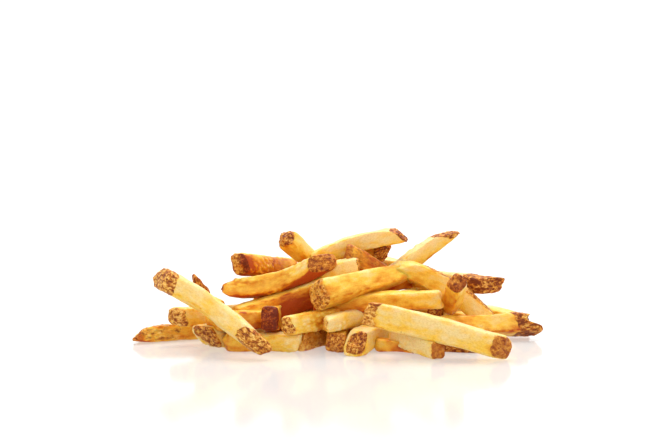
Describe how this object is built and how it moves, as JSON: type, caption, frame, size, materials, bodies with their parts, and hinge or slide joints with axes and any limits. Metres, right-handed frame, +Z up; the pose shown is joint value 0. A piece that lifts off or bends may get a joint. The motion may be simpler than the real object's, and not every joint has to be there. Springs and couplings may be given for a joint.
{
  "type": "french fries portion",
  "caption": "Loose heap of skin-on, straight-cut french fries lying on a surface, with browned cut ends, fused into one body with an uneven outline.",
  "frame": {"origin": "centre of the heap's outline on the surface it lies on", "axes": "+X along the heap's long side to the right, +Y away from the viewer, +Z up"},
  "size_m": [0.1847, 0.1139, 0.049],
  "materials": {
    "fried_potato": "satin golden fried potato with reddish-brown skin at the cut ends"
  },
  "bodies": {
    "root": {"fries": "fried_potato"}
  },
  "joints": []
}
